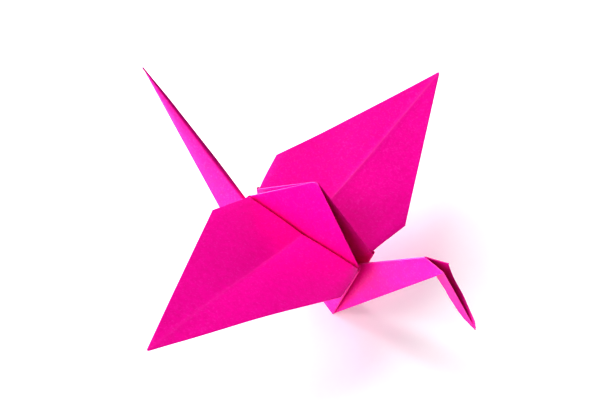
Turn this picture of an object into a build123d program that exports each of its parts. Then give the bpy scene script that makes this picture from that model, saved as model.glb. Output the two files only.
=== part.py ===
from build123d import *
import os
from math import asin, atan2, cos, degrees, hypot, radians, sin, sqrt, tan

# A paper crane folded from one uncut square. Millimetres and degrees.
# +X runs from the tail to the neck, +Z is up, and the crane stands on the four lower corners of its
# body. The near side is -Y, the far side is +Y. The origin is on the ground, under the middle of the
# crane's length and of its wing span.

SHEET = 150.0  # side of the square
PAPER = 0.1  # thickness of one layer
RAW_EDGE_GAP = 0.3  # slit between the two raw edges that meet under each wing
NARROWING = 11.25  # angle between a leg's spine and its narrowed edge, a sixteenth of a half turn

# The four ends of the body, as opened when the wings are pulled apart.
NECK_OPENING = 6.0  # width of the body across its sides at the wing line, at the neck
TAIL_OPENING = 3.0
NECK_DROP = 18.0  # from the wing line down to the reverse fold, along the spine
TAIL_DROP = 19.5
NECK_CREASE = 67.0  # angle of the reverse fold from the spine
TAIL_CREASE = 63.5
NECK_FEET = 7.0  # width across the body's lower corners
TAIL_FEET = 6.2
NECK_SWING = 2.5  # how far the neck points to the far side
TAIL_SWING = -1.0

NEAR_WING_RISE = 9.0
FAR_WING_RISE = 7.0
NEAR_WING_SWEEP = -1.0  # towards the neck when positive
FAR_WING_SWEEP = 1.5

HEAD_LENGTH = 26.0  # from the head's reverse fold to the beak's tip, along the spine
HEAD_CREASE = 46.0  # angle of the head's reverse fold from the neck's spine
HEAD_SWING = 5.0

LEG_LAYERS = 4  # layers in each half of the neck, the tail and the head
HALF_CORNER = 22.5  # a bird base halves each 45-degree corner of the square's quarters

# Heights up the flat bird base, from its leg tips, and half widths across it.
apex_height = SHEET / sqrt(2)
wing_line = apex_height / (1 + tan(radians(NARROWING)))
wing_root = apex_height - wing_line
shoulder_height = SHEET * tan(radians(HALF_CORNER)) / (tan(radians(NARROWING)) + tan(radians(HALF_CORNER)))
shoulder_width = shoulder_height * tan(radians(NARROWING))
flap_corner_height = SHEET / (2 * cos(radians(HALF_CORNER)))
edge_middle_height = SHEET / 2
flap_root_width = shoulder_width * (wing_line - flap_corner_height) / (shoulder_height - flap_corner_height)

SIDES = {"near": -1, "far": 1}
ENDS = {"neck": 1, "tail": -1}
opening = {"neck": NECK_OPENING, "tail": TAIL_OPENING}
drop = {"neck": NECK_DROP, "tail": TAIL_DROP}
crease = {"neck": NECK_CREASE, "tail": TAIL_CREASE}
feet = {"neck": NECK_FEET, "tail": TAIL_FEET}
swing = {"neck": NECK_SWING, "tail": TAIL_SWING}
rise = {"near": NEAR_WING_RISE, "far": FAR_WING_RISE}
sweep = {"near": NEAR_WING_SWEEP, "far": FAR_WING_SWEEP}


def between(start, end, share):
    """The point at a share of the way from start to end."""
    return start + (end - start) * share


def crotch_below(end):
    """Where a leg's spine turns out of the body: the spine keeps its length from the hump's top."""
    spine = apex_height - (wing_line - drop[end])
    to_root = sqrt(wing_root**2 + drop[end] ** 2 - (opening[end] / 2) ** 2)
    root = (corner["near", end] + corner["far", end]) / 2
    reach = hypot(root.X, root.Z)
    along = (spine**2 - to_root**2 + reach**2) / (2 * reach)
    aside = sqrt(spine**2 - along**2)
    towards = root / reach
    across = Vector(0, 1, 0).cross(towards) * ENDS[end]
    return towards * along + across * aside


def leg_axes(end):
    """Unit vectors of a leg: along its spine, down across its leaves, and to the far side."""
    climb = radians(2 * crease[end] - 90)
    turn = radians(swing[end])
    level = Vector(cos(turn) * ENDS[end], sin(turn), 0)
    upright = Vector(0, 0, 1)
    along = level * cos(climb) + upright * sin(climb)
    across = level * sin(climb) - upright * cos(climb)
    return along, across, Vector(-sin(turn) * ENDS[end], cos(turn), 0)


def edge_point(tip, axes, side, distance, spread):
    """A point on a leg's narrowed edge, a distance from the leg's tip as measured on the spine."""
    along, across, aside = axes
    width = distance * tan(radians(NARROWING))
    return tip - along * distance + across * width * cos(spread) + aside * width * sin(spread) * SIDES[side]


def reach_to_crease(length, angle):
    """How far up the spine the outer end of a crease lies, where its inner end is at length."""
    slant = length * sin(radians(NARROWING)) / sin(radians(angle + NARROWING))
    return length - slant * cos(radians(angle))


# The corners of the folded form, with the hump's top at the origin.
apex = Vector(0, 0, 0)
body_turn = asin((NECK_OPENING - TAIL_OPENING) / 2 / (2 * wing_root))
corner = {}
for side, outward in SIDES.items():
    for end, forward in ENDS.items():
        x = forward * wing_root * cos(body_turn)
        y = outward * opening[end] / 2
        corner[side, end] = Vector(x, y, -sqrt(2 * wing_root**2 - x**2 - y**2))

crotch = {end: crotch_below(end) for end in ENDS}
axes = {end: leg_axes(end) for end in ENDS}
tip = {}
foot = {}
spread = {}
for end in ENDS:
    leg = wing_line - drop[end]
    tip[end] = crotch[end] + axes[end][0] * leg
    foot_reach = reach_to_crease(leg, crease[end])
    spread[end] = asin(feet[end] / 2 / (foot_reach * tan(radians(NARROWING))))
    for side in SIDES:
        foot[side, end] = edge_point(tip[end], axes[end], side, foot_reach, spread[end])

# The head is the neck's end folded back inside itself, towards the ground.
along, across, aside = axes["neck"]
brow = tip["neck"] - along * HEAD_LENGTH
cheek_reach = reach_to_crease(HEAD_LENGTH, HEAD_CREASE)
cheek = {side: edge_point(tip["neck"], axes["neck"], side, cheek_reach, spread["neck"]) for side in SIDES}
nod = radians(2 * HEAD_CREASE)
head_turn = radians(HEAD_SWING)
beak = brow + ((along * cos(nod) + across * sin(nod)) * cos(head_turn) + aside * sin(head_turn)) * HEAD_LENGTH

# Level the crane on its feet, and set them on the ground.
front = (foot["near", "neck"] + foot["far", "neck"]) / 2
back = (foot["near", "tail"] + foot["far", "tail"]) / 2
pitch = degrees(atan2(front.Z - back.Z, front.X - back.X))
ground = front.rotate(Axis.Y, pitch).Z


def stood(point):
    """The point in the frame of the standing crane."""
    return point.rotate(Axis.Y, pitch) - Vector(0, 0, ground)


def stood_all(points):
    return {key: stood(point) for key, point in points.items()}


apex, brow, beak = stood(apex), stood(brow), stood(beak)
corner, crotch, foot = stood_all(corner), stood_all(crotch), stood_all(foot)
cheek, tip = stood_all(cheek), stood_all(tip)


def wing_axes(side):
    """Unit vectors of a wing: along its root to the neck, out to its tip, and up out of its face."""
    along = (corner[side, "neck"] - corner[side, "tail"]).normalized()
    level = Vector(0, SIDES[side], 0)
    level = (level - along * level.dot(along)).normalized()
    upright = along.cross(level) * SIDES[side]
    out = level * cos(radians(rise[side])) + upright * sin(radians(rise[side]))
    face = along.cross(out) * SIDES[side]
    return along, out + along * tan(radians(sweep[side])), face


def layer(outline, towards, low, high):
    """Paper on a flat outline, from low to high off its plane, measured towards a direction."""
    normal = (outline[1] - outline[0]).cross(outline[2] - outline[0]).normalized()
    if normal.dot(towards) < 0:
        normal = normal * -1
    seat = Plane(origin=outline[0], x_dir=outline[1] - outline[0], z_dir=normal)
    flat = [seat.to_local_coords(point) for point in outline]
    with BuildSketch(seat.offset(low)) as drawn:
        with BuildLine():
            Polyline(*[(point.X, point.Y) for point in flat], close=True)
        make_face()
    extrude(drawn.sketch, amount=high - low)


def fold(start, end, radius):
    """The rounded back of a fold, along a crease."""
    with BuildSketch(Plane(origin=start, z_dir=end - start)) as drawn:
        RegularPolygon(radius, side_count=8)
    extrude(drawn.sketch, amount=(end - start).length)


def hump_and_side(side):
    """The hump over the wing line, and the hidden layers that hang behind the body's side."""
    outward = Vector(0, SIDES[side], 0)
    root = {end: corner[side, end] for end in ENDS}
    hem = {end: between(root[end], crotch[end], (wing_line - edge_middle_height) / drop[end]) for end in ENDS}
    layer([apex, root["neck"], root["tail"]], outward, 0, PAPER)
    layer([root["tail"], root["neck"], hem["neck"], hem["tail"]], outward, -2 * PAPER, 0)
    for end in ENDS:
        fold(apex, root[end], PAPER)


def body_quarter(side, end):
    """One side of the body at one end: outer layer, turned-in flaps, edge pack and inner gusset."""
    outward = Vector(0, SIDES[side], 0)
    root = corner[side, end]
    middle = (corner[side, "neck"] + corner[side, "tail"]) / 2
    flap_corner = between(middle, crotch[end], (wing_line - flap_corner_height) / drop[end])
    flap_root = between(middle, root, flap_root_width / wing_root)
    layer([middle, root, crotch[end]], outward, 0, PAPER)
    layer([crotch[end], flap_corner, flap_root, root], outward, PAPER, 3 * PAPER)
    layer([crotch[end], root, foot[side, end]], outward, -PAPER, 3 * PAPER)
    layer([apex, root, crotch[end]], outward, -PAPER, 0)
    fold(crotch[end], root, PAPER)
    fold(crotch[end], foot[side, end], LEG_LAYERS * PAPER / 2)


def wing(side):
    """A wing: one whole layer on top, two halves under it, and a flap's corner at each root."""
    along, out, face = wing_axes(side)
    root = {end: corner[side, end] for end in ENDS}
    middle = (root["neck"] + root["tail"]) / 2
    point = middle + out * (SHEET - wing_line)
    shoulder = {
        end: middle + along * shoulder_width * ENDS[end] + out * (shoulder_height - wing_line) for end in ENDS
    }
    layer([root["tail"], root["neck"], shoulder["neck"], point, shoulder["tail"]], face, 0, PAPER)
    for end in ENDS:
        inset = along * ENDS[end] * RAW_EDGE_GAP / 2
        end_tip = between(point, shoulder[end], RAW_EDGE_GAP / 2 / shoulder_width)
        layer([middle + inset, root[end], shoulder[end], end_tip], face, -PAPER, 0)
        flap_root = between(middle, root[end], flap_root_width / wing_root)
        layer([flap_root, root[end], shoulder[end]], face, -3 * PAPER, -PAPER)
    fold(root["tail"], root["neck"], 2 * PAPER)


def leaf(outline, side):
    """Half of a leg or of the head: a pack of layers whose outer face lies on the outline."""
    layer(outline, Vector(0, SIDES[side], 0), -LEG_LAYERS * PAPER, 0)


with BuildPart() as paper_crane:
    for side in SIDES:
        hump_and_side(side)
        wing(side)
        for end in ENDS:
            body_quarter(side, end)

    # The neck and the tail: two leaves each, joined along the spine and open below.
    for side in SIDES:
        leaf([crotch["tail"], foot[side, "tail"], tip["tail"]], side)
        leaf([crotch["neck"], foot[side, "neck"], cheek[side], brow], side)
    fold(crotch["tail"], tip["tail"], PAPER)
    fold(crotch["neck"], brow, 2 * PAPER)

    # The head sits inside the end of the neck, joined along the chin and open above.
    for side in SIDES:
        tucked = cheek[side] - Vector(0, SIDES[side], 0) * LEG_LAYERS * PAPER
        leaf([brow, tucked, beak], side)
        fold(brow, cheek[side], 2 * PAPER)
    fold(brow, beak, PAPER)

# Move the crane so that the origin is under the middle of its box.
box = paper_crane.part.bounding_box()
paper_crane.part.locate(Location((-box.center().X, -box.center().Y, -box.min.Z)))

paper_crane.part.label = "paper_crane"
os.makedirs("parts", exist_ok=True)
export_step(paper_crane.part, "parts/paper_crane.step")
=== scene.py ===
import math
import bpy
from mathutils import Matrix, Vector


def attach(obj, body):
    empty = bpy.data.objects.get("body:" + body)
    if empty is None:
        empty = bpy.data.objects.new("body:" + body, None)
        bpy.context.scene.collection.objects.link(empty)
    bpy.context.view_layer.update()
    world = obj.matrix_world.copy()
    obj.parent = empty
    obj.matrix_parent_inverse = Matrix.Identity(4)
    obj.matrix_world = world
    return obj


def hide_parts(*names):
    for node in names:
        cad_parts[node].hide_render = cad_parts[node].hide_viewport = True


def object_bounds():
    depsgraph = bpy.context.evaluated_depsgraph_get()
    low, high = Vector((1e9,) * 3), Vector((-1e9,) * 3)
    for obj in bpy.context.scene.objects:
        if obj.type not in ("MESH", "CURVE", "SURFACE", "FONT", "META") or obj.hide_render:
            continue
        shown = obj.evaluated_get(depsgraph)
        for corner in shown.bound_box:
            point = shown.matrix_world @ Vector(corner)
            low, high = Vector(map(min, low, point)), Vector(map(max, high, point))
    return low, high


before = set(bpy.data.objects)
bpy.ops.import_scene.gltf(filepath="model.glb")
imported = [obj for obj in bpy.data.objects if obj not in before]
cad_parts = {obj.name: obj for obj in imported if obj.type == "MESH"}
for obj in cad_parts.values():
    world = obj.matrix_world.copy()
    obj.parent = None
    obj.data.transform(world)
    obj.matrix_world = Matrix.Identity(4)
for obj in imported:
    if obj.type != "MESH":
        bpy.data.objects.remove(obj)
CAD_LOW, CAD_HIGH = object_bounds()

from types import SimpleNamespace

import bmesh
import bpy
from mathutils import Matrix, Vector, noise

bl_info = {
    "name": "Origami Crane",
    "version": (1, 0, 0),
    "blender": (4, 5, 0),
    "location": "View3D > Sidebar > Crane",
    "description": "Folds a paper crane from one square sheet and lights it on a pale table",
    "category": "Add Mesh",
}

MM = 0.001
CRANE_NODE = "paper_crane"
SHEET_NAME = "folded_sheet"
# How many layers out from the body's middle plane each layer of a side lies, where it meets the crotch.
CROTCH_LEVEL = {
    "gusset": 0.0,
    "hump": 1.0,
    "wing_top": 1.6,
    "outer": 4.0,
    "outer_flap": 5.0,
    "top_flap": 6.0,
    "spine_flap": 6.0,
}
# The same for the pack of layers at the body's front or back edge, where it meets the foot.
FOOT_LEVEL = {"gusset": 0.5, "outer": 1.5, "outer_flap": 2.5, "spine_flap": 3.5}
SIDES = {"near": -1, "far": 1}
ENDS = {"neck": 1, "tail": -1}
VALLEY_REACH = 7.0  # mm from a wing's middle crease in which the fold left in it flattens out
VALLEY_FADE = 0.55  # share of a wing's length in which that fold fades out
RIDGE_HEIGHT, RIDGE_WIDTH = 0.05, 0.45  # mm, the raised line of a wing's middle crease
SWELL_HEIGHT, SWELL_WIDTH = 0.35, 17.0  # mm, a wing's soft unevenness
SWELL_START = 12.0  # mm from its root in which a wing's unevenness sets in
SLIDE_REACH = 3.0  # mm from its root in which a wing takes up its shift along the body
CREASE_WIDTH = 0.3  # mm, half the width of a flattened crease's pale line
HALF_CORNER = 22.5  # a bird base halves each 45-degree corner of the square's quarters
# Each light's azimuth and elevation in degrees, and its power in watts.
LIGHTS = (
    ("window, left low", 180, 12, 4.4),
    ("window, left", 180, 35, 3.4),
    ("window, left high", 180, 60, 3.0),
    ("window, front left low", 225, 12, 4.6),
    ("window, front left", 225, 35, 1.6),
    ("front wall low", 270, 12, 0.9),
    ("front wall", 270, 35, 1.4),
    ("back wall low", 90, 12, 0.9),
    ("window, back left low", 150, 12, 1.2),
)
LIGHT_REACH = 1.0  # metres from the crane's middle to each light
LIGHT_WIDTH = 0.55  # metres
SKY_COLOUR, SKY_STRENGTH = "F7F8FF", 0.02
BACKDROP_COLOUR, BACKDROP_REACH = "F4F4F6", 6.0  # metres from the crane's middle
CAMERA_PLACE = (3.65, -0.2, -1.656)  # mm from the box's middle to the point that the camera turns about
CAMERA_AIM = (-1.99, 5.69)  # mm right and up from that point to what the camera looks at


# Settings


def linear(code):
    """An sRGB hex colour as linear RGBA."""
    parts = [int(code[i : i + 2], 16) / 255 for i in (0, 2, 4)]
    return [p / 12.92 if p <= 0.04045 else ((p + 0.055) / 1.055) ** 2.4 for p in parts] + [1.0]


class CraneSettings(bpy.types.PropertyGroup):
    """Sizes and angles of the folded sheet."""

    sheet: bpy.props.FloatProperty(
        name="Sheet", description="Side of the square", default=150.0 * MM, unit="LENGTH"
    )
    paper: bpy.props.FloatProperty(
        name="Paper", description="Thickness of one layer", default=0.08 * MM, unit="LENGTH"
    )
    layer_pitch: bpy.props.FloatProperty(
        name="Layer pitch", description="Spacing of pressed layers", default=0.1 * MM, unit="LENGTH"
    )
    raw_edge_gap: bpy.props.FloatProperty(
        name="Raw edge gap", description="Slit between the raw edges under a wing",
        default=0.3 * MM, unit="LENGTH",
    )
    narrowing: bpy.props.FloatProperty(
        name="Narrowing", description="Angle between a leg's spine and its edge",
        default=math.radians(11.25), unit="ROTATION",
    )
    opening: bpy.props.FloatVectorProperty(
        name="Opening", description="Body width at the neck's and the tail's wing line",
        size=2, default=(6.0 * MM, 3.0 * MM), unit="LENGTH",
    )
    drop: bpy.props.FloatVectorProperty(
        name="Drop", description="Wing line to the neck's and the tail's reverse fold",
        size=2, default=(18.0 * MM, 19.5 * MM), unit="LENGTH",
    )
    crease: bpy.props.FloatVectorProperty(
        name="Crease", description="Angle of the neck's and the tail's reverse fold",
        size=2, default=(math.radians(67.0), math.radians(63.5)), unit="ROTATION",
    )
    feet: bpy.props.FloatVectorProperty(
        name="Feet", description="Width across the body's corners at the neck and the tail",
        size=2, default=(7.0 * MM, 6.2 * MM), unit="LENGTH",
    )
    swing: bpy.props.FloatVectorProperty(
        name="Swing", description="Turn of the neck and the tail to the far side",
        size=2, default=(math.radians(2.5), math.radians(-1.0)), unit="ROTATION",
    )
    wing_rise: bpy.props.FloatVectorProperty(
        name="Wing rise", description="Rise of the near and the far wing",
        size=2, default=(math.radians(9.8), math.radians(6.7)), unit="ROTATION",
    )
    wing_sweep: bpy.props.FloatVectorProperty(
        name="Wing sweep", description="Sweep of the near and the far wing to the neck",
        size=2, default=(math.radians(-1.4), math.radians(1.8)), unit="ROTATION",
    )
    wing_curl: bpy.props.FloatVectorProperty(
        name="Wing curl", description="Bend of the near and the far wing along their length",
        size=2, default=(math.radians(-8.0), math.radians(7.0)), unit="ROTATION",
    )
    wing_valley: bpy.props.FloatVectorProperty(
        name="Wing valley", description="Fold left in the near and the far wing's middle crease",
        size=2, default=(math.radians(8.0), math.radians(-3.0)), unit="ROTATION",
    )
    wing_crease: bpy.props.FloatVectorProperty(
        name="Wing crease wear", description="How pale the near and the far wing's middle crease is",
        size=2, default=(0.12, 0.25),
    )
    wing_stretch: bpy.props.FloatVectorProperty(
        name="Wing stretch", description="Widening of the near and the far wing by loose folding",
        size=2, default=(1.02, 0.99),
    )
    wing_droop: bpy.props.FloatVectorProperty(
        name="Wing droop", description="Wing line to the near and the far wing's own fold",
        size=2, default=(0.65 * MM, 0.1 * MM), unit="LENGTH",
    )
    wing_slide: bpy.props.FloatVectorProperty(
        name="Wing slide", description="Shift of the near and the far wing to the neck",
        size=2, default=(0.75 * MM, -0.5 * MM), unit="LENGTH",
    )
    wing_pocket: bpy.props.FloatVectorProperty(
        name="Wing pocket", description="Gap between the hump and the near and the far wing's root",
        size=2, default=(0.8 * MM, 0.45 * MM), unit="LENGTH",
    )
    head_length: bpy.props.FloatProperty(
        name="Head length", description="Head fold to the beak's tip", default=26.0 * MM, unit="LENGTH"
    )
    head_crease: bpy.props.FloatProperty(
        name="Head crease", description="Angle of the head's reverse fold",
        default=math.radians(46.0), unit="ROTATION",
    )
    head_swing: bpy.props.FloatProperty(
        name="Head swing", description="Turn of the head to the far side",
        default=math.radians(5.0), unit="ROTATION",
    )


class PaperSettings(bpy.types.PropertyGroup):
    """Colours of the paper, and its grain."""

    dye: bpy.props.FloatVectorProperty(
        name="Dye", description="Colour of the paper", size=4, subtype="COLOR", default=linear("FF00AF")
    )
    deep_dye: bpy.props.FloatVectorProperty(
        name="Deep dye", description="Colour where fibres lie thick",
        size=4, subtype="COLOR", default=linear("F600A1"),
    )
    fleck: bpy.props.FloatVectorProperty(
        name="Fleck", description="Colour of raised fibres",
        size=4, subtype="COLOR", default=linear("FF48C1"),
    )
    # Colour of pale creases and folded edges: worn dye, and on folded edges also a painted highlight.
    core: bpy.props.FloatVectorProperty(
        name="Core", description="Colour where folding has worn the dye",
        size=4, subtype="COLOR", default=linear("FF8CD2"),
    )
    grain: bpy.props.FloatProperty(
        name="Grain", description="Width of a cloud of fibres", default=1.2 * MM, unit="LENGTH"
    )


class StageSettings(bpy.types.PropertyGroup):
    """The table, the lights and the camera."""

    table: bpy.props.FloatVectorProperty(
        name="Table", description="Colour of the table", size=4, subtype="COLOR", default=linear("FAFAFC")
    )
    table_width: bpy.props.FloatProperty(
        name="Table width", description="Width of the round table", default=900.0 * MM, unit="LENGTH"
    )
    glow: bpy.props.FloatProperty(
        name="Glow", description="Strength of the table's own light", default=0.22, min=0.0
    )
    lens: bpy.props.FloatProperty(
        name="Lens", description="Focal length", default=100.0, unit="CAMERA"
    )
    distance: bpy.props.FloatProperty(
        name="Distance", description="Camera to crane", default=438.7 * MM, unit="LENGTH"
    )
    azimuth: bpy.props.FloatProperty(
        name="Azimuth", description="Camera's turn from the side",
        default=math.radians(31.9), unit="ROTATION",
    )
    elevation: bpy.props.FloatProperty(
        name="Elevation", description="Camera's height", default=math.radians(47.25), unit="ROTATION"
    )
    roll: bpy.props.FloatProperty(
        name="Roll", description="Camera's roll", default=math.radians(3.66), unit="ROTATION"
    )


def in_millimetres(settings):
    """The settings by name, with lengths in mm and angles in degrees. Blender keeps metres and radians,
    in single precision, so the values are rounded back to what was set."""
    scale = {"LENGTH": 1 / MM, "ROTATION": math.degrees(1)}
    values = {}
    for name in settings.__annotations__:
        kind, value = settings.bl_rna.properties[name], getattr(settings, name)
        factor = scale.get(kind.unit, 1)
        parts = [round(part * factor, 4) for part in (value if kind.is_array else [value])]
        values[name] = parts if kind.is_array else parts[0]
    return SimpleNamespace(**values)


# The flat bird base and the corners of the folded form


def lerp(start, end, share):
    return start + (end - start) * share


def lookup(table, place):
    """The value at a place in a table of (place, value) pairs, eased between them."""
    for (a, low), (b, high) in zip(table, table[1:]):
        if place <= b:
            t = (place - a) / (b - a)
            return lerp(low, high, t * t * (3 - 2 * t))
    return table[-1][1]


class Pattern:
    """Places on the flat bird base: widths across it and heights up from its leg tips, in mm."""

    def __init__(self, size):
        narrowing = math.tan(math.radians(size.narrowing))
        corner = math.tan(math.radians(HALF_CORNER))
        self.sheet = size.sheet
        self.slope = narrowing
        self.apex = size.sheet / math.sqrt(2)
        self.wing_line = self.apex / (1 + narrowing)
        self.root = self.apex - self.wing_line
        self.shoulder_height = size.sheet * corner / (narrowing + corner)
        self.shoulder_width = self.shoulder_height * narrowing
        self.flap_corner = size.sheet / (2 * math.cos(math.radians(HALF_CORNER)))
        self.flap_root = (
            self.shoulder_width
            * (self.wing_line - self.flap_corner)
            / (self.shoulder_height - self.flap_corner)
        )
        self.edge_middle = size.sheet / 2
        self.drop, self.crease = dict(zip(ENDS, size.drop)), dict(zip(ENDS, size.crease))
        self.crotch = {end: self.wing_line - self.drop[end] for end in ENDS}
        self.foot = {end: self.crease_reach(self.crotch[end], self.crease[end]) for end in ENDS}
        self.brow = size.head_length
        self.cheek = self.crease_reach(size.head_length, size.head_crease)

    def crease_reach(self, length, angle):
        """How far up the leg a crease's outer end lies, where its inner end is at length."""
        beta = math.atan(self.slope)
        slant = length * math.sin(beta) / math.sin(math.radians(angle) + beta)
        return length - slant * math.cos(math.radians(angle))


class Corners:
    """The folded form's corners in space, in mm, standing on its feet."""

    # The head's trough springs open, which moves the neck's end: the brow and the two cheeks, in mm.
    BROW_SET = Vector((0.3, 0, -0.6))
    CHEEK_SET = {"near": Vector((0.55, -0.9, 0)), "far": Vector((0.1, 0.35, 0.1))}
    # How far the head's spine stands back and its open edges stand forward, as pairs of a share of the
    # way from the brow to the blunt tip and mm.
    HEAD_BACK = (
        (0, 0), (0.15, 0.85), (0.42, 1.0), (0.6, 1.6), (0.75, 1.75), (0.87, 1.6), (0.95, 0.8), (1, 0)
    )
    HEAD_FRONT = {
        "near": ((0, 0), (1, 0)),
        "far": ((0, 0), (0.3, -0.3), (0.6, 0.8), (0.86, 1.1), (0.95, 0.6), (1, 0)),
    }

    def __init__(self, size, flat):
        self.opening = dict(zip(ENDS, size.opening))
        feet, swing = dict(zip(ENDS, size.feet)), dict(zip(ENDS, size.swing))
        self.apex = Vector((0, 0, 0))
        turn = math.asin((self.opening["neck"] - self.opening["tail"]) / 2 / (2 * flat.root))
        self.root, self.crotch, self.foot, self.tip, self.axes = {}, {}, {}, {}, {}
        for side, outward in SIDES.items():
            for end, forward in ENDS.items():
                x = forward * flat.root * math.cos(turn)
                y = outward * self.opening[end] / 2
                self.root[side, end] = Vector((x, y, -math.sqrt(2 * flat.root**2 - x * x - y * y)))
        for end in ENDS:
            self.crotch[end] = self.crotch_below(end, flat)
            axes = self.leg_axes(end, flat.crease[end], swing[end])
            self.tip[end] = self.crotch[end] + axes[0] * flat.crotch[end]
            spread = math.asin(feet[end] / 2 / (flat.foot[end] * flat.slope))
            self.axes[end] = axes
            for side in SIDES:
                self.foot[side, end] = self.on_edge(end, side, flat.foot[end], spread, flat.slope)
            if end == "neck":
                self.cheek = {side: self.on_edge(end, side, flat.cheek, spread, flat.slope) for side in SIDES}
        along, across, aside = self.axes["neck"]
        self.brow = self.tip["neck"] - along * size.head_length
        nod, turn = math.radians(2 * size.head_crease), math.radians(size.head_swing)
        forward = (along * math.cos(nod) + across * math.sin(nod)) * math.cos(turn) + aside * math.sin(turn)
        self.beak = self.brow + forward * size.head_length
        self.stand()

    def crotch_below(self, end, flat):
        spine = flat.apex - flat.crotch[end]
        to_root = math.sqrt(flat.root**2 + flat.drop[end] ** 2 - (self.opening[end] / 2) ** 2)
        root = (self.root["near", end] + self.root["far", end]) / 2
        reach = root.length
        along = (spine**2 - to_root**2 + reach**2) / (2 * reach)
        aside = math.sqrt(spine**2 - along**2)
        towards = root / reach
        return towards * along + Vector((0, 1, 0)).cross(towards) * ENDS[end] * aside

    def leg_axes(self, end, crease, swing):
        climb, turn = math.radians(2 * crease - 90), math.radians(swing)
        level = Vector((math.cos(turn) * ENDS[end], math.sin(turn), 0))
        upright = Vector((0, 0, 1))
        along = level * math.cos(climb) + upright * math.sin(climb)
        across = level * math.sin(climb) - upright * math.cos(climb)
        return along, across, Vector((-math.sin(turn) * ENDS[end], math.cos(turn), 0))

    def on_edge(self, end, side, distance, spread, slope):
        along, across, aside = self.axes[end]
        width = distance * slope
        sideways = aside * width * math.sin(spread) * SIDES[side]
        return self.tip[end] - along * distance + across * width * math.cos(spread) + sideways

    def stand(self):
        """Level the crane on its feet and put its box where the frame has it."""
        front = (self.foot["near", "neck"] + self.foot["far", "neck"]) / 2
        back = (self.foot["near", "tail"] + self.foot["far", "tail"]) / 2
        level = Matrix.Rotation(math.atan2(front.z - back.z, front.x - back.x), 3, "Y")
        groups = (self.root, self.crotch, self.foot, self.tip, self.cheek)
        drop = Vector((0, 0, (level @ front).z))
        for group in groups:
            for key in group:
                group[key] = level @ group[key] - drop
        self.apex, self.brow, self.beak = (level @ p - drop for p in (self.apex, self.brow, self.beak))
        ends = (self.tip["tail"].x + self.beak.x) / 2
        shift = Vector(((CAD_LOW.x + CAD_HIGH.x) / 2 / MM - ends, 0, 0))
        for group in groups:
            for key in group:
                group[key] = group[key] + shift
        self.apex, self.brow, self.beak = (p + shift for p in (self.apex, self.brow, self.beak))


# Mesh tools


class SheetMesh:
    """Collects grids of paper and the rolled backs of folds, which weld where their edges meet."""

    WELD = 0.004  # mm within which points are the same

    def __init__(self):
        self.points = []
        self.worn = []
        self.faces = []

    def grid(self, rows, worn=None):
        """Join rows of points with faces; the last list says how pale each point is painted: worn dye on
        creases, and worn dye with a painted highlight along folded edges.
        """
        start, wide = len(self.points), len(rows[0])
        for r, row in enumerate(rows):
            self.points.extend(row)
            self.worn.extend(worn[r] if worn else [0.0] * wide)
        for r in range(len(rows) - 1):
            for c in range(wide - 1):
                a = start + r * wide + c
                self.faces.append((a, a + 1, a + wide + 1, a + wide))

    def patch(self, place, a, b, c, d, steps_ab, steps_bc, grade=1.0, crease=0.0):
        """A patch between four flat places: a to b along each row, a to d from row to row."""
        rows, worn = [], []
        for j in range(steps_bc + 1):
            t = j / steps_bc
            left, right = lerp(a, d, t), lerp(b, c, t)
            rows.append(stroke(place, left, right, steps_ab, grade))
            flats = stroke(Vector, left, right, steps_ab, grade)
            worn.append([crease * math.exp(-((q.x / CREASE_WIDTH) ** 2)) for q in flats])
        self.grid(rows, worn)

    def roll(self, first, second, outward, steps=6, bulge=1.0, wear=0.6):
        """The back of a closed fold: a half round from one layer's edge to the other's."""
        rows = []
        for k in range(steps + 1):
            angle = math.pi * k / steps
            row = []
            for p, q, out in zip(first, second, outward):
                middle, arm = (p + q) / 2, (p - q) / 2
                row.append(middle + arm * math.cos(angle) + out * arm.length * math.sin(angle) * bulge)
            rows.append(row)
        # The fold's outside is painted paler towards its middle: worn dye, and a painted highlight along the
        # edge.
        self.grid(rows, [[wear * math.sin(math.pi * k / steps)] * len(first) for k in range(steps + 1)])

    def bend(self, first, corner, second, steps=5):
        """A soft bend from one layer's edge round a corner to its next stretch."""
        rows = []
        for k in range(steps + 1):
            t = k / steps
            rows.append(
                [p * (1 - t) ** 2 + c * 2 * t * (1 - t) + q * t * t for p, c, q in zip(first, corner, second)]
            )
        self.grid(rows)
        return rows

    def built(self, name, thickness, sharp_angle):
        mesh = bpy.data.meshes.new(name)
        mesh.from_pydata([p * MM for p in self.points], [], self.faces)
        mesh.attributes.new("worn", "FLOAT", "POINT").data.foreach_set("value", self.worn)
        work = bmesh.new()
        work.from_mesh(mesh)
        bmesh.ops.remove_doubles(work, verts=work.verts, dist=self.WELD * MM)
        bmesh.ops.dissolve_degenerate(work, edges=work.edges, dist=self.WELD * MM / 2)
        bmesh.ops.recalc_face_normals(work, faces=work.faces)
        work.to_mesh(mesh)
        work.free()
        piece = bpy.data.objects.new(name, mesh)
        bpy.context.scene.collection.objects.link(piece)
        shell = piece.modifiers.new("paper thickness", "SOLIDIFY")
        shell.thickness = thickness * MM
        shell.offset = 0
        solid = bpy.data.meshes.new_from_object(piece.evaluated_get(bpy.context.evaluated_depsgraph_get()))
        piece.modifiers.clear()
        piece.data = solid
        solid.name = name
        work = bmesh.new()
        work.from_mesh(solid)
        for face in work.faces:
            face.smooth = True
        for edge in work.edges:
            edge.smooth = len(edge.link_faces) == 2 and edge.calc_face_angle(0) < math.radians(sharp_angle)
        work.to_mesh(solid)
        work.free()
        return piece


# The folded sheet


def flat(u, v):
    return Vector((u, v, 0))


def affine(a, b, c, p, q, r):
    """The map that carries flat places a, b, c to points p, q, r, and each flat place's shares."""
    across, up = b - a, c - a
    area = across.x * up.y - across.y * up.x

    def shares(place):
        d = place - a
        beta = (d.x * up.y - d.y * up.x) / area
        gamma = (across.x * d.y - across.y * d.x) / area
        return 1 - beta - gamma, beta, gamma

    def point(place):
        i, j, k = shares(place)
        return p * i + q * j + r * k

    return point, shares


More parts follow.
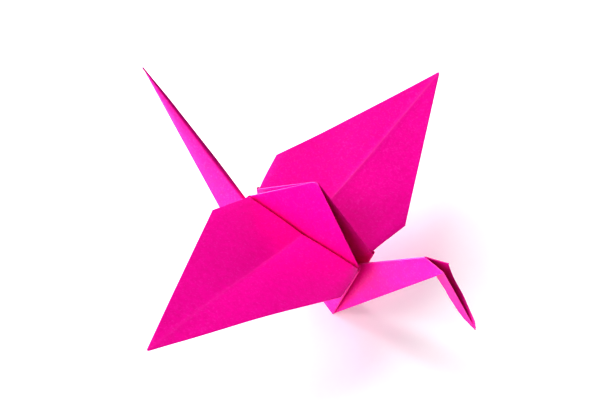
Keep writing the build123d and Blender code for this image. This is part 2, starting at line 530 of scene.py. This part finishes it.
def stroke(place, start, end, steps, grade=1.0):
    """Points along a flat line; a grade above 1 draws them closer together at its start."""
    return [place(lerp(start, end, (i / steps) ** grade)) for i in range(steps + 1)]


class Folder:
    """Folds the sheet: each quarter of the crane is laid out flat, then carried to its place."""

    FINE = 14  # steps across a patch
    FOLD_GAP = 1.2  # layer pitches from the middle of a fold to the layer on each side

    def __init__(self, size):
        self.size = size
        self.flat = Pattern(size)
        self.at = Corners(size, self.flat)
        self.mesh = SheetMesh()
        self.pitch = size.layer_pitch
        self.fold_gap = self.FOLD_GAP * self.pitch

    def fold_all(self):
        for side in SIDES:
            for end in ENDS:
                quarter = Quarter(self, side, end)
                quarter.hump()
                quarter.gusset()
                quarter.body_side()
                quarter.edge_pack()
                quarter.wing()
                quarter.leg()
        return self.mesh


class Quarter:
    """One side of one end of the crane."""

    GRADE = 1.5  # draws a grid closer together towards the wing's middle crease
    FAN_LENGTH = 10.0  # mm in which a leg's layers spread out from the fold that they leave
    TIP_LENGTH, TIP_SHARE = 30.0, 0.4  # mm in which a leg's pack thins to this share at its tip
    SPINE_SPREAD = {"neck": 0.85, "tail": 1.25}  # spacing at a leg's spine, in layer pitches
    EDGE_SPREAD, HEAD_SPREAD = 0.85, 0.6  # the same at a leg's open edge, and in the head
    TAIL_PUFF = ((0, 0), (12, 0.45), (30, 0.5), (50, 0.15), (69, 0))  # mm up from its tip, mm of bulge
    PUFF_START = 0.25  # share of the bulge's arch that is missing at the leg's spine
    BACK_BULGE = 0.7  # a spine's back stands out by this share of a half round's depth
    BEND_REACH = 0.45  # mm past the layers' levels at which a wing's bend ends

    def __init__(self, folder, side, end):
        self.f, self.side, self.end = folder, side, end
        self.mesh, self.p, self.n = folder.mesh, folder.pitch, folder.FINE
        fl, at = folder.flat, folder.at
        self.outward = Vector((0, SIDES[side], 0))
        self.forward = Vector((ENDS[end], 0, 0))
        self.O, self.G, self.R = flat(0, fl.apex), flat(0, fl.wing_line), flat(fl.root, fl.wing_line)
        self.C, self.F = flat(0, fl.crotch[end]), flat(fl.foot[end] * fl.slope, fl.foot[end])
        self.P, self.X = flat(0, fl.flap_corner), flat(fl.flap_root, fl.wing_line)
        self.U, self.W = flat(fl.shoulder_width, fl.shoulder_height), flat(0, fl.sheet)
        self.N = flat(0, 0)
        # The wing's own fold lies a little under the wing line, and these are its places on it.
        droop = self.wing_value("droop")
        self.fold_height = fl.wing_line - droop
        self.Gw, self.Re = flat(0, self.fold_height), flat(self.fold_height * fl.slope, self.fold_height)
        self.Rc = lerp(self.R, self.C, droop / fl.drop[end])
        self.Xw = lerp(self.X, self.P, droop / (fl.wing_line - fl.flap_corner))
        self.middle = (at.root[side, "neck"] + at.root[side, "tail"]) / 2
        self.root, self.crotch, self.foot = at.root[side, end], at.crotch[end], at.foot[side, end]
        # Levels of the layers at the wing line, outwards from the fold that the hump hangs on.
        gap, pocket = folder.fold_gap, self.wing_value("pocket")
        self.root_level = {
            "gusset": -gap,
            "hump": gap,
            "wing_top": gap + pocket,
            "outer": gap + pocket + self.p,
            "outer_flap": gap + pocket + 2 * self.p,
            "top_flap": gap + pocket + 3 * self.p,
            "spine_flap": gap + pocket + 4.2 * self.p,
        }

    def wing_value(self, name):
        near, far = getattr(self.f.size, f"wing_{name}")
        return near if self.side == "near" else far

    # Maps from the flat sheet to space

    def hump_place(self):
        at = self.f.at
        point, shares = affine(self.O, self.G, self.R, at.apex, self.middle, self.root)

        def place(q):
            low = 1 - shares(q)[0]
            return point(q) + self.outward * self.f.fold_gap * low

        return place

    def gusset_place(self):
        at = self.f.at
        point, shares = affine(self.O, self.C, self.R, at.apex, self.crotch, self.root)

        def place(q):
            return point(q) - self.outward * self.f.fold_gap * shares(q)[2]

        return place

    def side_place(self, name, centre=None):
        """The body's side panel: level at the wing line, closing to the crotch."""
        crotch = self.crotch if centre is None else centre
        point, shares = affine(self.G, self.R, self.C, self.middle, self.root, crotch)
        top = self.root_level[name]
        low = CROTCH_LEVEL[name] * self.p

        def place(q):
            g, r, c = shares(q)
            return point(q) + self.outward * (top * (g + r) + low * c)

        return place

    def pack_place(self, name):
        """The pack of layers at the body's front or back edge."""
        point, shares = affine(self.R, self.F, self.C, self.root, self.foot, self.crotch)
        top, at_foot, at_crotch = self.root_level[name], FOOT_LEVEL[name], CROTCH_LEVEL[name]

        def place(q):
            r, f, c = shares(q)
            return point(q) + self.outward * (top * r + at_foot * self.p * f + at_crotch * self.p * c)

        return place

    def wing_frame(self):
        at = self.f.at
        along = (at.root[self.side, "neck"] - at.root[self.side, "tail"]).normalized()
        level = self.outward - along * self.outward.dot(along)
        level.normalize()
        upright = along.cross(level) * SIDES[self.side]
        return along, level, upright

    def wing_place(self, lift):
        """The wing beyond its root: it rises, curls along its length and keeps a soft middle crease."""
        along, level, upright = self.wing_frame()
        fl, pick = self.f.flat, self.wing_value
        rise, curl = math.radians(pick("rise")), math.radians(pick("curl"))
        sweep, valley = math.tan(math.radians(pick("sweep"))), math.tan(math.radians(pick("valley")))
        length = fl.sheet - self.fold_height
        start = rise - curl / 2
        base = self.middle - upright * pick("droop")
        seed = 3.7 * SIDES[self.side]

        def place(q):
            out = q.y - self.fold_height
            if abs(curl) > 1e-6:
                bend = curl / length
                reach = (math.sin(start + bend * out) - math.sin(start)) / bend
                height = (math.cos(start) - math.cos(start + bend * out)) / bend
            else:
                reach, height = out * math.cos(start), out * math.sin(start)
            fade = math.exp(-((out / (VALLEY_FADE * length)) ** 2))
            crease = VALLEY_REACH * (1 - math.exp(-abs(q.x) / VALLEY_REACH)) * valley * fade
            crease += RIDGE_HEIGHT * math.exp(-((q.x / RIDGE_WIDTH) ** 2))
            swell = noise.noise(Vector((q.x * ENDS[self.end] / SWELL_WIDTH, out / SWELL_WIDTH, seed)))
            crease += SWELL_HEIGHT * swell * min(1, out / SWELL_START)
            here = start + curl * out / length
            face = upright * math.cos(here) - level * math.sin(here)
            spot = base + level * reach + upright * height
            slide = pick("slide") * (1 - math.exp(-max(out, 0) / SLIDE_REACH))
            beside = q.x * pick("stretch") * ENDS[self.end] + slide
            return spot + along * (beside + out * sweep) + face * (crease + lift)

        return place

    # Pieces of the quarter

    def hump(self):
        place = self.hump_place()
        self.mesh.patch(place, self.G, self.R, self.O, self.O, self.n, self.n, self.GRADE)
        ridge = self.gusset_place()
        edge, back = stroke(place, self.R, self.O, self.n), stroke(ridge, self.R, self.O, self.n)
        at = self.f.at
        spine = (self.root - at.apex).normalized()
        out = spine.cross(self.outward) * ENDS[self.end] * SIDES[self.side]
        if out.dot(self.forward) < 0:
            out = -out
        # Pale paint along the hump's edge: strong at the tail, where it is a painted highlight as well as
        # wear, faint at the neck.
        self.mesh.roll(edge, back, [out] * len(edge), wear=0.1 if self.end == "neck" else 0.9)

    def gusset(self):
        place = self.gusset_place()
        self.mesh.patch(place, self.C, self.R, self.O, self.O, self.n, self.n)

    def body_side(self):
        """The layers beside the body, from the hump's own hem out to the turned flaps."""
        at, fl = self.f.at, self.f.flat
        centre = (at.crotch["neck"] + at.crotch["tail"]) / 2
        share = (fl.wing_line - fl.edge_middle) / fl.drop[self.end]
        hem_middle, hem_root = lerp(self.G, self.C, share), lerp(self.R, self.C, share)
        hump, top = self.side_place("hump", centre), self.side_place("wing_top", centre)
        self.mesh.patch(hump, self.G, self.R, hem_root, hem_middle, self.n, 4, self.GRADE)
        self.mesh.patch(top, self.Gw, self.Rc, hem_root, hem_middle, self.n, 4, self.GRADE)
        self.mesh.roll(
            stroke(hump, hem_middle, hem_root, self.n, self.GRADE),
            stroke(top, hem_middle, hem_root, self.n, self.GRADE),
            [Vector((0, 0, -1))] * (self.n + 1),
        )
        slit = flat(self.f.size.raw_edge_gap / 2, 0)
        outer = self.side_place("outer")
        self.mesh.patch(outer, self.Gw + slit, self.Rc, self.C, self.C, self.n, self.n, self.GRADE)
        inner_flap = self.side_place("outer_flap")
        self.mesh.patch(inner_flap, self.P, self.Xw, self.Rc, self.C, self.n, self.n)
        face_flap = self.side_place("spine_flap")
        self.mesh.patch(face_flap, self.P, self.Rc, self.C, self.C, self.n, self.n)
        back = [-self.forward] * (self.n + 1)
        self.mesh.roll(
            stroke(inner_flap, self.C, self.P, self.n), stroke(face_flap, self.C, self.P, self.n), back
        )
        # The slanting hem where the spine's flap turns under, and the wing flap's corner above it.
        tuck = self.side_place("top_flap")
        up = [(-self.forward + Vector((0, 0, 1))).normalized()] * (self.n + 1)
        self.mesh.roll(stroke(face_flap, self.P, self.Rc, self.n), stroke(tuck, self.P, self.Rc, self.n), up)
        self.mesh.patch(tuck, self.P, self.Xw, self.Rc, self.Rc, self.n, self.n)
        self.mesh.roll(stroke(inner_flap, self.P, self.Xw, self.n), stroke(tuck, self.P, self.Xw, self.n), up)

    def edge_pack(self):
        places = {name: self.pack_place(name) for name in FOOT_LEVEL}
        for name, place in places.items():
            ends = (self.R, self.R) if name == "gusset" else (self.Re, self.Rc)
            self.mesh.patch(place, self.C, self.F, *ends, self.n, self.n)
        out = [self.forward] * (self.n + 1)
        for a, b in (("gusset", "spine_flap"), ("outer", "outer_flap")):
            self.mesh.roll(
                stroke(places[a], self.F, self.R if a == "gusset" else self.Re, self.n),
                stroke(places[b], self.F, self.Re, self.n),
                out,
                wear=0.2,
            )

    def wing(self):
        p = self.p
        lift = {"wing_top": 1.5 * p, "outer": 0.5 * p, "outer_flap": -0.5 * p, "top_flap": -1.5 * p}
        slit = self.f.size.raw_edge_gap / 2
        along, level, _ = self.wing_frame()
        places = {name: self.wing_place(value) for name, value in lift.items()}
        start = flat(0, self.root_level["top_flap"] + self.BEND_REACH)
        under_tip = self.W + flat(slit, -slit / math.tan(math.radians(HALF_CORNER)))
        steps = 2 * self.n
        bend_end = {}
        for name, place in places.items():
            inner, tip, grade = self.Gw, self.W, self.GRADE
            if name == "outer":
                inner, tip = self.Gw + flat(slit, 0), under_tip
            elif name.endswith("flap"):
                inner, tip, grade = self.Xw, self.U, 1.0
            crease = self.wing_value("crease") if name == "wing_top" else 0.0
            self.mesh.patch(place, inner + start, self.Re + start, self.U, tip, self.n, steps, grade, crease)
            lower = stroke(self.side_place(name), inner, self.Rc, self.n, grade)
            upper = stroke(place, inner + start, self.Re + start, self.n, grade)
            above = flat(0, self.root_level[name])
            corner = stroke(place, inner + above, self.Re + above, self.n, grade)
            bend_end[name] = [row[-1] for row in self.mesh.bend(lower, corner, upper)]
        # The long folded edge from the shoulder to the tip.
        top_edge = stroke(places["wing_top"], self.U, self.W, steps)
        under_edge = stroke(places["outer"], self.U, under_tip, steps)
        lean = math.radians(HALF_CORNER)
        out = along * ENDS[self.end] * math.cos(lean) + level * math.sin(lean)
        self.mesh.roll(top_edge, under_edge, [out] * (steps + 1))
        # The short folded edge from the root to the shoulder, and the flap's inner edge.
        short = {name: stroke(place, self.Re + start, self.U, steps) for name, place in places.items()}
        out = along * ENDS[self.end]
        self.mesh.roll(short["wing_top"], short["top_flap"], [out] * (steps + 1))
        self.mesh.roll(short["outer"], short["outer_flap"], [out] * (steps + 1))
        turn = [out] * len(bend_end["outer"])
        self.mesh.roll(bend_end["wing_top"], bend_end["top_flap"], turn)
        self.mesh.roll(bend_end["outer"], bend_end["outer_flap"], turn)
        flaps = ("outer_flap", "top_flap")
        inner_edges = [stroke(places[name], self.Xw + start, self.U, steps) for name in flaps]
        self.mesh.roll(*inner_edges, [-out] * (steps + 1))

    # The neck, the tail and the head

    def leaf_step(self, q, spine_step, edge_step, fan_from):
        """How far a leaf's layer stands off the leaf's plane: the pack thins to the leaf's tip."""
        a = min(max(q.x / max(q.y * self.f.flat.slope, 1e-6), 0), 1)
        fan = min(1.0, abs(fan_from - q.y) / self.FAN_LENGTH)
        taper = lerp(self.TIP_SHARE, 1.0, min(1.0, q.y / self.TIP_LENGTH))
        return self.outward * (spine_step * (1 - a) * fan + edge_step * a) * taper * self.p

    def leg_place(self, index):
        """A layer of the neck or tail, from its spine (index 0 outermost) to its open edge."""
        fl, at = self.f.flat, self.f.at
        point, _ = affine(self.C, self.F, self.N, self.crotch, self.foot, at.tip[self.end])
        neck = self.end == "neck"
        spine_step, edge_step = (3.5 - index) * self.SPINE_SPREAD[self.end], -(0.5 + index) * self.EDGE_SPREAD

        def place(q):
            spot = point(q)
            a = min(max(q.x / max(q.y * fl.slope, 1e-6), 0), 1)
            if not neck:
                puff = lookup(self.TAIL_PUFF, q.y)
                spot = spot + self.outward * puff * math.sin(math.pi * lerp(self.PUFF_START, 1, a))
            if neck:
                low_spine = (fl.crotch["neck"] - q.y) / (fl.crotch["neck"] - fl.brow)
                low_edge = max(0, (fl.foot["neck"] - q.y) / (fl.foot["neck"] - fl.cheek))
                spot = spot + at.BROW_SET * (1 - a) * low_spine + at.CHEEK_SET[self.side] * a * low_edge
            return spot + self.leaf_step(q, spine_step, edge_step, fl.crotch[self.end])

        return place

    def head_place(self, index, brow, cheek):
        """A layer of the head, whose leaves stand apart as an open trough."""
        fl, at = self.f.flat, self.f.at
        brow_at, cheek_at = at.brow + at.BROW_SET, at.cheek[self.side] + at.CHEEK_SET[self.side]
        point, _ = affine(brow, cheek, self.N, brow_at, cheek_at, at.beak)
        spine_step = (0.5 + index) * self.HEAD_SPREAD
        edge_step = -(4.0 + 0.5 * (3 - index)) * self.HEAD_SPREAD

        def place(q):
            a = min(max(q.x / max(q.y * fl.slope, 1e-6), 0), 1)
            t = min(max(1 - q.y / fl.brow, 0), 1)
            back = lookup(at.HEAD_BACK, t) * (1 - a)
            front = lookup(at.HEAD_FRONT[self.side], t) * a
            return point(q) + Vector((front - back, 0, 0)) + self.leaf_step(q, spine_step, edge_step, fl.brow)

        return place

    def leg(self):
        fl, at = self.f.flat, self.f.at
        neck = self.end == "neck"
        places = [self.leg_place(index) for index in range(4)]
        low, low_edge = (flat(0, fl.brow), flat(fl.cheek * fl.slope, fl.cheek)) if neck else (self.N, self.N)
        steps = 4 * self.n
        packs = [self.pack_place(name) for name in FOOT_LEVEL]
        axes = at.axes[self.end]
        for index, place in enumerate(places):
            self.mesh.patch(place, self.C, self.F, low_edge, low, self.n, steps)
            body = stroke(packs[index], self.C, self.F, self.n)
            leg = stroke(place, self.C, self.F, self.n)
            down = [Vector((0, 0, -1))] * (self.n + 1)
            self.mesh.roll(body, leg, down, bulge=0.6)
        open_edge = [stroke(place, self.F, low_edge, steps) for place in places]
        spine_edge = [stroke(place, self.C, low, steps) for place in places]
        out = [axes[1]] * (steps + 1)
        self.mesh.roll(open_edge[0], open_edge[3], out)
        self.mesh.roll(open_edge[1], open_edge[2], out)
        self.mesh.roll(spine_edge[2], spine_edge[3], [-axes[1]] * (steps + 1))
        end = at.brow + at.BROW_SET if neck else at.tip["tail"]
        # The neck's spine gets a pale painted highlight along its top, partly wear; the tail's spine, which
        # lies in shade, almost none.
        self.back(spine_edge[0], self.crotch, end, -axes[1], wear=0.7 if neck else 0.05)
        if neck:
            self.head(places, low, low_edge)

    def back(self, edge, start, end, outward, wear):
        """A quarter round from a leaf's outer layer to the middle plane, where the other leaf meets it."""
        line = end - start
        rows, steps = [], 4
        for k in range(steps + 1):
            angle = math.pi / 2 * k / steps
            row = []
            for q in edge:
                centre = Vector((q.x, start.y + line.y * (q - start).dot(line) / line.dot(line), q.z))
                arm = q - centre
                bulge = outward * arm.length * math.sin(angle) * self.BACK_BULGE
                row.append(centre + arm * math.cos(angle) + bulge)
            rows.append(row)
        # Paler towards the spine's round: worn dye and a painted highlight.
        worn = [[wear * math.sin(math.pi / 2 * k / steps)] * len(edge) for k in range(steps + 1)]
        self.mesh.grid(rows, worn)

    def head(self, neck_places, brow, cheek):
        at = self.f.at
        places = [self.head_place(index, brow, cheek) for index in range(4)]
        steps = 3 * self.n
        forward = at.axes["neck"][0]
        for index, place in enumerate(places):
            self.mesh.patch(place, brow, cheek, self.N, self.N, self.n, steps)
            neck = stroke(neck_places[index], brow, cheek, self.n)
            head = stroke(place, brow, cheek, self.n)
            self.mesh.roll(neck, head, [forward] * (self.n + 1), bulge=0.35)
        edges = [stroke(place, cheek, self.N, steps) for place in places]
        spines = [stroke(place, brow, self.N, steps) for place in places]
        self.mesh.roll(edges[0], edges[3], [forward] * (steps + 1))
        self.mesh.roll(edges[1], edges[2], [forward] * (steps + 1))
        self.mesh.roll(spines[2], spines[3], [-forward] * (steps + 1))
        # The head's spine is painted a little pale: wear and a painted highlight.
        self.back(spines[0], at.brow + at.BROW_SET, at.beak, -forward, wear=0.3)


# Materials


def socket_of(sockets, name):
    """The socket with this identifier, or else the first with this name."""
    for socket in sockets:
        if socket.identifier == name:
            return socket
    return sockets.get(name)


def add_node(tree, kind, settings=None, links=None):
    """Add a node, set its properties and inputs, and link outputs into its inputs."""
    node = tree.nodes.new(kind)
    for name, value in (settings or {}).items():
        socket = socket_of(node.inputs, name)
        if socket is None:
            setattr(node, name, value)
        else:
            socket.default_value = value
    for name, output in (links or {}).items():
        tree.links.new(output, socket_of(node.inputs, name))
    return node


def new_material(name):
    material = bpy.data.materials.new(name)
    material.use_nodes = True
    material.node_tree.nodes.clear()
    return material, material.node_tree


def dyed_paper(look):
    """Solid-dyed origami paper, calendered: matt with a slight gloss. The dye lies a little unevenly in
    clouds of fibre, fine fibres rise as paler flecks, and creases and folded edges are painted paler: worn
    dye, and on the folded edges also a painted highlight.
    The real fibres are about 0.02 mm across, too fine to show, so the flecks are drawn about 0.5 mm wide."""
    material, tree = new_material("solid-dyed origami paper")
    place = add_node(tree, "ShaderNodeTexCoord").outputs["Object"]
    cloud = 1 / look.grain
    clouds = add_node(
        tree, "ShaderNodeTexNoise", {"Scale": cloud, "Detail": 4.0, "Roughness": 0.55}, {"Vector": place}
    )
    fibre = add_node(
        tree,
        "ShaderNodeTexNoise",
        {"Scale": 2.2 * cloud, "Detail": 3.0, "Roughness": 0.65},
        {"Vector": place},
    )
    sway = add_node(tree, "ShaderNodeTexNoise", {"Scale": cloud / 6, "Detail": 2.0}, {"Vector": place})
    uneven = add_node(
        tree,
        "ShaderNodeMapRange",
        {"From Min": 0.3, "From Max": 0.7},
        {"Value": clouds.outputs["Fac"]},
    )
    dye = add_node(
        tree,
        "ShaderNodeMix",
        {"data_type": "RGBA", "A_Color": look.deep_dye, "B_Color": look.dye},
        {"Factor_Float": uneven.outputs["Result"]},
    )
    flecks = add_node(
        tree,
        "ShaderNodeMapRange",
        {"From Min": 0.53, "From Max": 0.69, "To Max": 0.62},
        {"Value": fibre.outputs["Fac"]},
    )
    flecked = add_node(
        tree,
        "ShaderNodeMix",
        {"data_type": "RGBA", "B_Color": look.fleck},
        {"Factor_Float": flecks.outputs["Result"], "A_Color": socket_of(dye.outputs, "Result_Color")},
    )
    # Creases and folded edges are mixed towards the pale colour: worn dye, and on folded edges a painted
    # highlight.
    worn = add_node(tree, "ShaderNodeAttribute", {"attribute_name": "worn"})
    wear_and_highlight_share = add_node(
        tree,
        "ShaderNodeMath",
        {"operation": "MULTIPLY", "Value_001": 0.55},
        {"Value": worn.outputs["Fac"]},
    )
    colour = add_node(
        tree,
        "ShaderNodeMix",
        {"data_type": "RGBA", "B_Color": look.core},
        {"Factor_Float": wear_and_highlight_share.outputs["Value"], "A_Color": socket_of(flecked.outputs, "Result_Color")},
    )
    tooth = add_node(
        tree,
        "ShaderNodeBump",
        {"Strength": 0.2, "Distance": 0.00004},
        {"Height": fibre.outputs["Fac"]},
    )
    cockle = add_node(
        tree,
        "ShaderNodeBump",
        {"Strength": 0.5, "Distance": 0.0002},
        {"Height": sway.outputs["Fac"], "Normal": tooth.outputs["Normal"]},
    )
    surface = add_node(
        tree,
        "ShaderNodeBsdfPrincipled",
        {"Roughness": 0.34, "IOR": 1.45, "Specular IOR Level": 0.5},
        {"Base Color": socket_of(colour.outputs, "Result_Color"), "Normal": cockle.outputs["Normal"]},
    )
    add_node(tree, "ShaderNodeOutputMaterial", links={"Surface": surface.outputs["BSDF"]})
    return material


def opal_table(stage):
    """An opal acrylic light table with a matt face, which glows a little from below."""
    material, tree = new_material("matt opal acrylic")
    surface = add_node(
        tree,
        "ShaderNodeBsdfPrincipled",
        {
            "Base Color": stage.table,
            "Roughness": 0.9,
            "Emission Color": stage.table,
            "Emission Strength": stage.glow,
        },
    )
    add_node(tree, "ShaderNodeOutputMaterial", links={"Surface": surface.outputs["BSDF"]})
    return material


# Operators


class CRANE_OT_fold(bpy.types.Operator):
    """Fold the sheet into the crane"""

    bl_idname = "crane.fold"
    bl_label = "Fold the sheet"

    def execute(self, context):
        size = in_millimetres(context.scene.crane_size)
        sheet = Folder(size).fold_all()
        piece = sheet.built(SHEET_NAME, size.paper, sharp_angle=35.0)
        piece.data.materials.append(dyed_paper(context.scene.crane_paper))
        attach(piece, "root")
        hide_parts(CRANE_NODE)
        return {"FINISHED"}


class CRANE_OT_stage(bpy.types.Operator):
    """Add the table, the lights and the camera"""

    bl_idname = "crane.stage"
    bl_label = "Set the stage"

    def execute(self, context):
        stage = context.scene.crane_stage
        self.add_table(stage)
        self.add_backdrop()
        self.add_lights(context)
        self.add_camera(context, stage)
        return {"FINISHED"}

    def add_table(self, stage):
        mesh = bpy.data.meshes.new("table")
        work = bmesh.new()
        level = Matrix.Translation((0, 0, CAD_LOW.z))
        bmesh.ops.create_circle(work, cap_ends=True, segments=96, radius=stage.table_width / 2, matrix=level)
        work.to_mesh(mesh)
        work.free()
        table = bpy.data.objects.new("table", mesh)
        bpy.context.scene.collection.objects.link(table)
        mesh.materials.append(opal_table(stage))

    def add_backdrop(self):
        """A white wall all round, which the camera sees and which lights nothing."""
        mesh = bpy.data.meshes.new("backdrop")
        work = bmesh.new()
        bmesh.ops.create_uvsphere(work, u_segments=48, v_segments=24, radius=BACKDROP_REACH)
        work.to_mesh(mesh)
        work.free()
        wall = bpy.data.objects.new("backdrop", mesh)
        bpy.context.scene.collection.objects.link(wall)
        material, tree = new_material("lit white studio paper")
        glow = add_node(tree, "ShaderNodeEmission", {"Color": linear(BACKDROP_COLOUR), "Strength": 1.0})
        add_node(tree, "ShaderNodeOutputMaterial", links={"Surface": glow.outputs["Emission"]})
        mesh.materials.append(material)
        wall.visible_diffuse = wall.visible_glossy = wall.visible_shadow = False
        wall.visible_transmission = False

    def add_lights(self, context):
        """Soft round lights, most of them side by side as one broad window to the left."""
        centre = (CAD_LOW + CAD_HIGH) / 2
        for name, azimuth, elevation, energy in LIGHTS:
            turn, climb = math.radians(azimuth), math.radians(elevation)
            level, height = math.cos(climb), math.sin(climb)
            away = Vector((math.cos(turn) * level, math.sin(turn) * level, height))
            light = bpy.data.lights.new(name, "AREA")
            light.shape, light.size, light.energy = "DISK", LIGHT_WIDTH, energy
            lamp = bpy.data.objects.new(name, light)
            lamp.location = centre + away * LIGHT_REACH
            lamp.rotation_euler = away.to_track_quat("Z", "Y").to_euler()
            lamp.visible_camera = False
            bpy.context.scene.collection.objects.link(lamp)
        world = bpy.data.worlds.new("studio")
        context.scene.world = world
        world.use_nodes = True
        background = world.node_tree.nodes["Background"]
        background.inputs["Color"].default_value = linear(SKY_COLOUR)
        background.inputs["Strength"].default_value = SKY_STRENGTH
        context.scene.view_settings.view_transform = "Standard"
        context.scene.view_settings.look = "High Contrast"

    def add_camera(self, context, stage):
        az, el, roll = stage.azimuth, stage.elevation, stage.roll
        back = Vector((math.sin(az) * math.cos(el), -math.cos(az) * math.cos(el), math.sin(el)))
        right = Vector((math.cos(az), math.sin(az), 0))
        up = back.cross(right)
        data = bpy.data.cameras.new("camera")
        data.lens, data.sensor_width = stage.lens, 36.0
        data.clip_start, data.clip_end = 0.01, 20
        camera = bpy.data.objects.new("camera", data)
        bpy.context.scene.collection.objects.link(camera)
        context.scene.camera = camera
        target = (CAD_LOW + CAD_HIGH) / 2 + Vector(CAMERA_PLACE) * MM
        turned_right = right * math.cos(roll) + up * math.sin(roll)
        turned_up = up * math.cos(roll) - right * math.sin(roll)
        spot = target + back * stage.distance
        aim = target + (turned_right * CAMERA_AIM[0] + turned_up * CAMERA_AIM[1]) * MM
        look = (spot - aim).normalized()
        side = turned_up.cross(look).normalized()
        top = look.cross(side)
        camera.matrix_world = Matrix(
            (
                (side.x, top.x, look.x, spot.x),
                (side.y, top.y, look.y, spot.y),
                (side.z, top.z, look.z, spot.z),
                (0, 0, 0, 1),
            )
        )


class CRANE_PT_panel(bpy.types.Panel):
    bl_label = "Origami Crane"
    bl_idname = "CRANE_PT_panel"
    bl_space_type = "VIEW_3D"
    bl_region_type = "UI"
    bl_category = "Crane"

    def draw(self, context):
        for operator in (CRANE_OT_fold, CRANE_OT_stage):
            self.layout.operator(operator.bl_idname)
        for group in ("crane_size", "crane_paper", "crane_stage"):
            settings = getattr(context.scene, group)
            box = self.layout.box()
            for name in settings.__annotations__:
                box.prop(settings, name)


CLASSES = (CraneSettings, PaperSettings, StageSettings, CRANE_OT_fold, CRANE_OT_stage, CRANE_PT_panel)


def register():
    for kind in CLASSES:
        bpy.utils.register_class(kind)
    bpy.types.Scene.crane_size = bpy.props.PointerProperty(type=CraneSettings)
    bpy.types.Scene.crane_paper = bpy.props.PointerProperty(type=PaperSettings)
    bpy.types.Scene.crane_stage = bpy.props.PointerProperty(type=StageSettings)


def unregister():
    for name in ("crane_size", "crane_paper", "crane_stage"):
        delattr(bpy.types.Scene, name)
    for kind in reversed(CLASSES):
        bpy.utils.unregister_class(kind)


def main():
    register()
    bpy.ops.crane.fold()
    bpy.ops.crane.stage()


if __name__ == "__main__":
    main()
